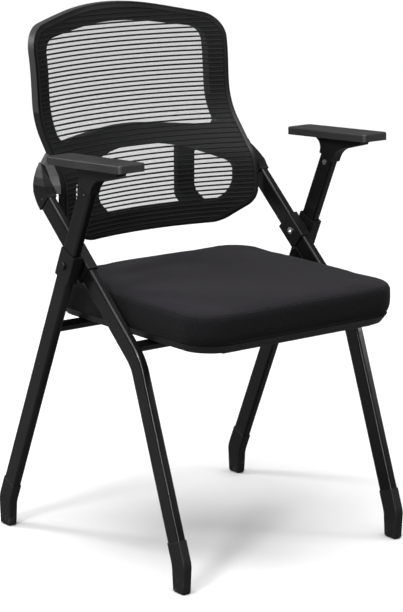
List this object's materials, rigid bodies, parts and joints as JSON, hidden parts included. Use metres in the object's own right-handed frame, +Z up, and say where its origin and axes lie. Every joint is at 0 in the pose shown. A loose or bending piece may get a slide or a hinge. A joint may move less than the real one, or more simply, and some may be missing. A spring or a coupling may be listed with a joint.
{
  "type": "nesting chair",
  "caption": "Folding conference chair: crossed tube frame, tip-up padded seat, curved mesh back and flat arm pads; folds flat to nest with others.",
  "frame": {"origin": "on the floor, at the middle of the chair's footprint box", "axes": "+Z up; the seat faces -Y, so the back is at +Y; +X is the sitter's left hand"},
  "size_m": [0.554, 0.5434, 0.8769],
  "materials": {
    "frame_steel": "black powder coat",
    "foot_plastic": "satin moulded",
    "moulded_plastic": "matt moulded",
    "screw_steel": "bright zinc",
    "washer_plastic": "smooth",
    "mesh_fabric": "stretched open weave",
    "strip_plastic": "satin",
    "arm_plastic": "fine grained",
    "pan_plastic": "matt moulded",
    "board_wood": "plain plywood",
    "seat_fabric": "fine woven",
    "hinge_plastic": "smooth"
  },
  "bodies": {
    "front_frame": {"front_leg_left": "frame_steel", "front_leg_right": "frame_steel", "front_foot_left": "foot_plastic", "front_foot_right": "foot_plastic", "front_sleeve_left": "moulded_plastic", "front_sleeve_right": "moulded_plastic", "pivot_bolt_left": "screw_steel", "pivot_bolt_right": "screw_steel", "pivot_nut_left": "frame_steel", "pivot_nut_right": "frame_steel", "pivot_washer_left": "washer_plastic", "pivot_washer_right": "washer_plastic", "back_screw_left": "screw_steel", "back_screw_right": "screw_steel", "front_cross_bar": "frame_steel", "back_frame": "moulded_plastic", "back_mesh": "mesh_fabric", "mesh_edge_strip": "strip_plastic"},
    "rear_frame": {"rear_leg_left": "frame_steel", "rear_leg_right": "frame_steel", "rear_foot_left": "foot_plastic", "rear_foot_right": "foot_plastic", "rear_sleeve_left": "moulded_plastic", "rear_sleeve_right": "moulded_plastic", "arm_bracket_left": "moulded_plastic", "arm_bracket_right": "moulded_plastic", "arm_pad_left": "arm_plastic", "arm_pad_right": "arm_plastic", "arm_screw_left": "screw_steel", "arm_screw_right": "screw_steel", "rear_cross_bar": "frame_steel"},
    "seat": {"seat_pan": "pan_plastic", "seat_board": "board_wood", "seat_cushion": "seat_fabric", "seat_screws": "screw_steel", "seat_hinge_left": "hinge_plastic", "seat_hinge_right": "hinge_plastic", "seat_rest_left": "hinge_plastic", "seat_rest_right": "hinge_plastic"}
  },
  "joints": [
    {"name": "frame_fold", "type": "hinge", "parent": "front_frame", "child": "rear_frame", "pos_m": [0, 0.029, 0.488], "axis": [-1, 0, 0], "range_deg": [0, 29]},
    {"name": "seat_tip", "type": "hinge", "parent": "rear_frame", "child": "seat", "pos_m": [0, 0.07824, 0.37496], "axis": [-1, 0, 0], "range_deg": [0, 60]}
  ]
}
